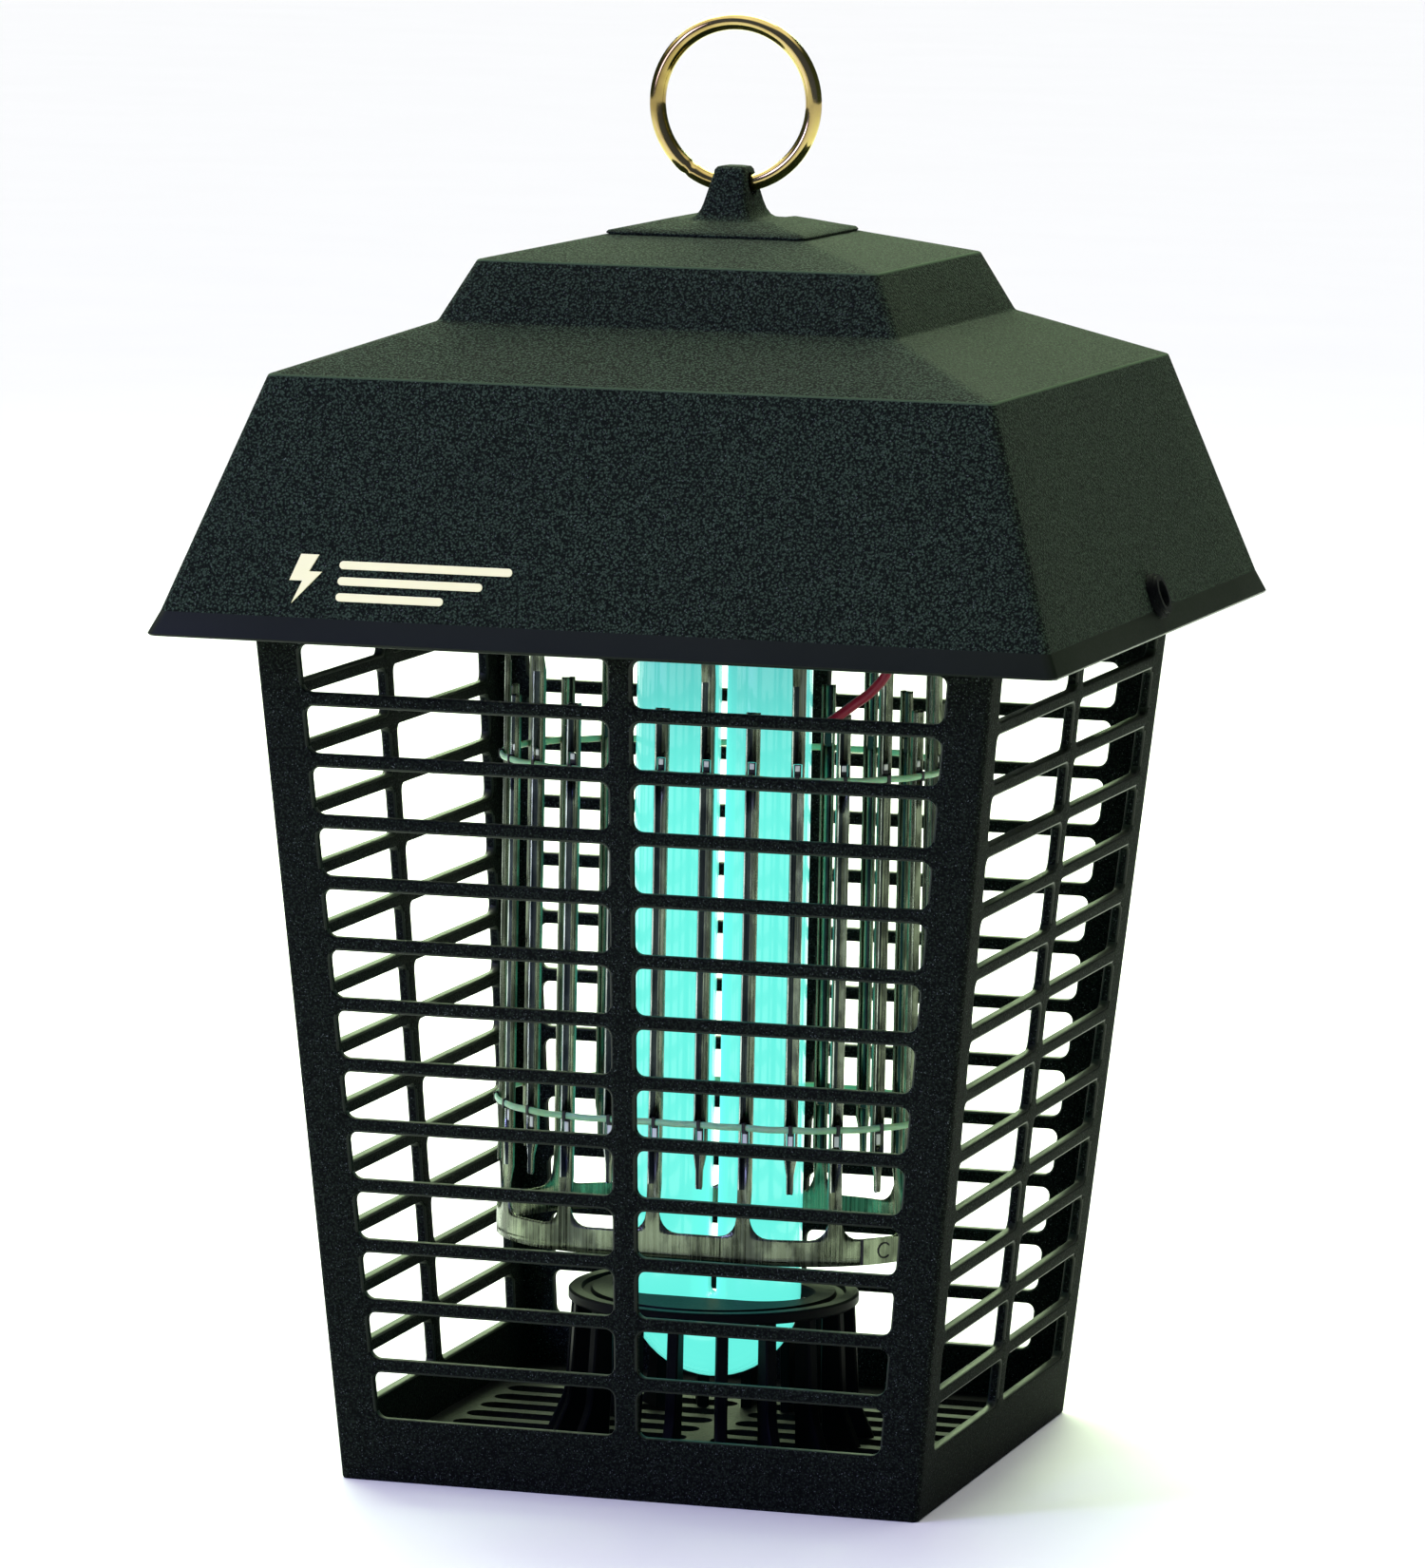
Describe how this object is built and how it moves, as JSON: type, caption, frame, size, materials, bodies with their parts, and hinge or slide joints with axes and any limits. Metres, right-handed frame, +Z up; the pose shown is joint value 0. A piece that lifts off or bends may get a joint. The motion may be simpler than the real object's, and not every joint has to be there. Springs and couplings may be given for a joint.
{
  "type": "electric bug zapper",
  "caption": "Outdoor electric insect killer: tapered slotted cage, pyramid hood, U-shaped lamp inside interleaved metal strip combs, and a hanging ring.",
  "frame": {"origin": "centre of the base, on the surface the cage stands on", "axes": "+Z up through the hanging ring, -Y out of the front, +X to the right as seen from the front, where the cord bush is"},
  "size_m": [0.2165, 0.216, 0.3442],
  "materials": {
    "cage_plastic": "moulded with a fine pebble grain",
    "floor_plastic": "satin moulded",
    "guard_plastic": "glossy moulded",
    "hood_plastic": "moulded with a pebble grain and a smooth rim band",
    "screw_steel": "zinc plated",
    "galvanised_steel": "galvanised sheet",
    "core_steel": "varnished laminations",
    "copper_winding": "varnished wire under tape",
    "starter_can": "plain aluminium can",
    "white_plastic": "heat-proof white moulding",
    "grid_metal": "plain sheet, streaked along its length",
    "insulator": "glazed insulating posts",
    "strap_plastic": "translucent green-white strap",
    "black_rubber": "smooth",
    "red_sleeve": "silicone sleeve",
    "black_sleeve": "wire insulation",
    "white_sleeve": "wire insulation",
    "blue_sleeve": "wire insulation",
    "pin_brass": "plain",
    "ring_brass": "brass plated, polished",
    "lamp_glass": "glowing phosphor-coated glass"
  },
  "bodies": {
    "cage": {"cage_front": "cage_plastic", "cage_right": "cage_plastic", "cage_back": "cage_plastic", "cage_left": "cage_plastic", "top_collar": "cage_plastic", "cage_screws": "screw_steel", "floor_grille": "floor_plastic", "lamp_guard": "guard_plastic"},
    "hood": {"hood_front": "hood_plastic", "hood_right": "hood_plastic", "hood_back": "hood_plastic", "hood_left": "hood_plastic", "hood_top": "hood_plastic", "hood_bosses": "hood_plastic", "top_cap": "hood_plastic", "cap_screws": "screw_steel", "chassis_plate": "galvanised_steel", "chassis_screws": "screw_steel", "transformer_core": "core_steel", "transformer_coil": "copper_winding", "ballast_core": "core_steel", "ballast_coil": "copper_winding", "starter": "starter_can", "starter_socket": "white_plastic", "lamp_socket": "white_plastic", "terminal_block": "white_plastic", "upper_comb": "grid_metal", "lower_comb": "grid_metal", "grid_standoffs": "insulator", "standoff_screws": "screw_steel", "lower_strap": "strap_plastic", "upper_strap": "strap_plastic", "lead_grommets": "black_rubber", "hv_lead_red": "red_sleeve", "hv_lead_black": "black_sleeve", "mains_lead": "black_sleeve", "ballast_lead": "white_sleeve", "starter_lead": "blue_sleeve", "cord_bush": "black_rubber"},
    "lamp": {"lamp_tube": "lamp_glass", "lamp_base": "white_plastic", "lamp_pins": "pin_brass"},
    "ring": {"hanging_ring": "ring_brass"}
  },
  "joints": [
    {"name": "hood_lift", "type": "slide", "parent": "cage", "child": "hood", "axis": [0, 0, 1], "range_m": [0, 0.2]},
    {"name": "lamp_pull", "type": "slide", "parent": "hood", "child": "lamp", "axis": [0, 0, 1], "range_m": [-0.012, 0]},
    {"name": "ring_swing", "type": "hinge", "parent": "hood", "child": "ring", "pos_m": [0, 0, 0.3038], "axis": [1, 0, 0], "range_deg": [-105, 105]}
  ]
}
